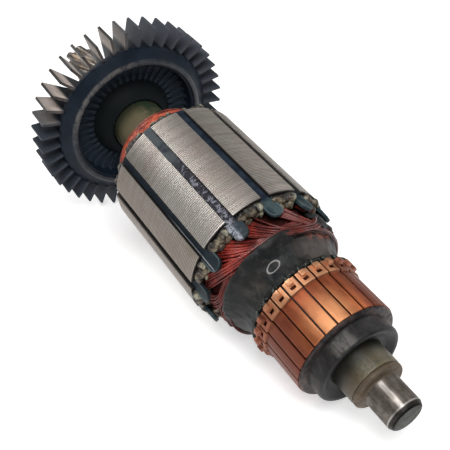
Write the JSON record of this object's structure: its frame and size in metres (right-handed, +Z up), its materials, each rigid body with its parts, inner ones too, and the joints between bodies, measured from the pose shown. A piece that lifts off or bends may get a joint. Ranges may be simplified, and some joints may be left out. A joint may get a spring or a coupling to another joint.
{
  "type": "motor armature",
  "caption": "Wound armature of a universal motor: a laminated core with wedged slots on an insulated shaft, a hook commutator, a radial-bladed cooling fan and a helical pinion.",
  "frame": {"origin": "middle of the bounding box on the floor, under the armature as it lies on two fan blades and on the core's front edge", "axes": "+X is along the shaft's length towards the commutator end, which is the lower end; +Z is up; +Y is across"},
  "size_m": [0.1444, 0.054, 0.0544],
  "materials": {
    "shaft_steel": "ground and slightly tarnished",
    "tube_resin": "matt glass-filled resin, tan to green",
    "core_steel": "turned edges of stacked sheets",
    "board": "matt, with trickled varnish",
    "liner": "matt insulating paper",
    "winding_copper": "red enamelled copper under varnish",
    "neck_resin": "varnished cord and resin",
    "lead_resin": "copper lead under dark resin",
    "hub_resin": "moulded phenolic, worn pale on the collar",
    "separator": "matt",
    "fan_plastic": "moulded, with a dusty bloom on the blades",
    "wedge_plastic": "matt strip, patchy with varnish",
    "bar_copper": "turned copper with a brush film"
  },
  "bodies": {
    "root": {"shaft": "shaft_steel", "shaft_insulation": "tube_resin", "lamination_stack": "core_steel", "front_end_board": "board", "rear_end_board": "board", "slot_liners": "liner", "armature_winding": "winding_copper", "lead_neck": "neck_resin", "lead_ends": "lead_resin", "commutator_hub": "hub_resin", "bar_separators": "separator", "cooling_fan": "fan_plastic", "slot_wedge_01": "wedge_plastic", "slot_wedge_02": "wedge_plastic", "slot_wedge_03": "wedge_plastic", "slot_wedge_04": "wedge_plastic", "slot_wedge_05": "wedge_plastic", "slot_wedge_06": "wedge_plastic", "slot_wedge_07": "wedge_plastic", "slot_wedge_08": "wedge_plastic", "slot_wedge_09": "wedge_plastic", "slot_wedge_10": "wedge_plastic", "slot_wedge_11": "wedge_plastic", "slot_wedge_12": "wedge_plastic", "commutator_bar_01": "bar_copper", "commutator_bar_02": "bar_copper", "commutator_bar_03": "bar_copper", "commutator_bar_04": "bar_copper", "commutator_bar_05": "bar_copper", "commutator_bar_06": "bar_copper", "commutator_bar_07": "bar_copper", "commutator_bar_08": "bar_copper", "commutator_bar_09": "bar_copper", "commutator_bar_10": "bar_copper", "commutator_bar_11": "bar_copper", "commutator_bar_12": "bar_copper", "commutator_bar_13": "bar_copper", "commutator_bar_14": "bar_copper", "commutator_bar_15": "bar_copper", "commutator_bar_16": "bar_copper", "commutator_bar_17": "bar_copper", "commutator_bar_18": "bar_copper", "commutator_bar_19": "bar_copper", "commutator_bar_20": "bar_copper", "commutator_bar_21": "bar_copper", "commutator_bar_22": "bar_copper", "commutator_bar_23": "bar_copper", "commutator_bar_24": "bar_copper"}
  },
  "joints": []
}
